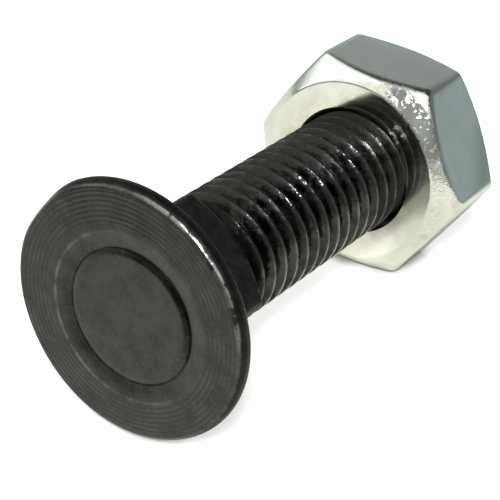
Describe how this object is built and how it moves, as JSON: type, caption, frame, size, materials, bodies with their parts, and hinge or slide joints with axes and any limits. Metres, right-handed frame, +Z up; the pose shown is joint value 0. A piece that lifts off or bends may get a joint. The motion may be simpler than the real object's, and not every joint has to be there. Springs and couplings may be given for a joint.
{
  "type": "plow bolt",
  "caption": "Round countersunk bolt with a low pad in its recessed face, a square neck, a threaded shank and a chamfered hex nut run on from the far end.",
  "frame": {"origin": "on the ground under the middle of the part", "axes": "+X along the ground from the head to the nut, +Z up"},
  "size_m": [0.0642, 0.031, 0.0309],
  "materials": {
    "black_steel": "black, oiled",
    "zinc_plate": "bright zinc plate"
  },
  "bodies": {
    "bolt": {"bolt": "black_steel"},
    "nut": {"nut": "zinc_plate"}
  },
  "joints": [
    {"name": "nut_travel", "type": "slide", "parent": "bolt", "child": "nut", "axis": [0.9994, 0, -0.0341], "range_m": [-0.03002, 0.01616]}
  ]
}
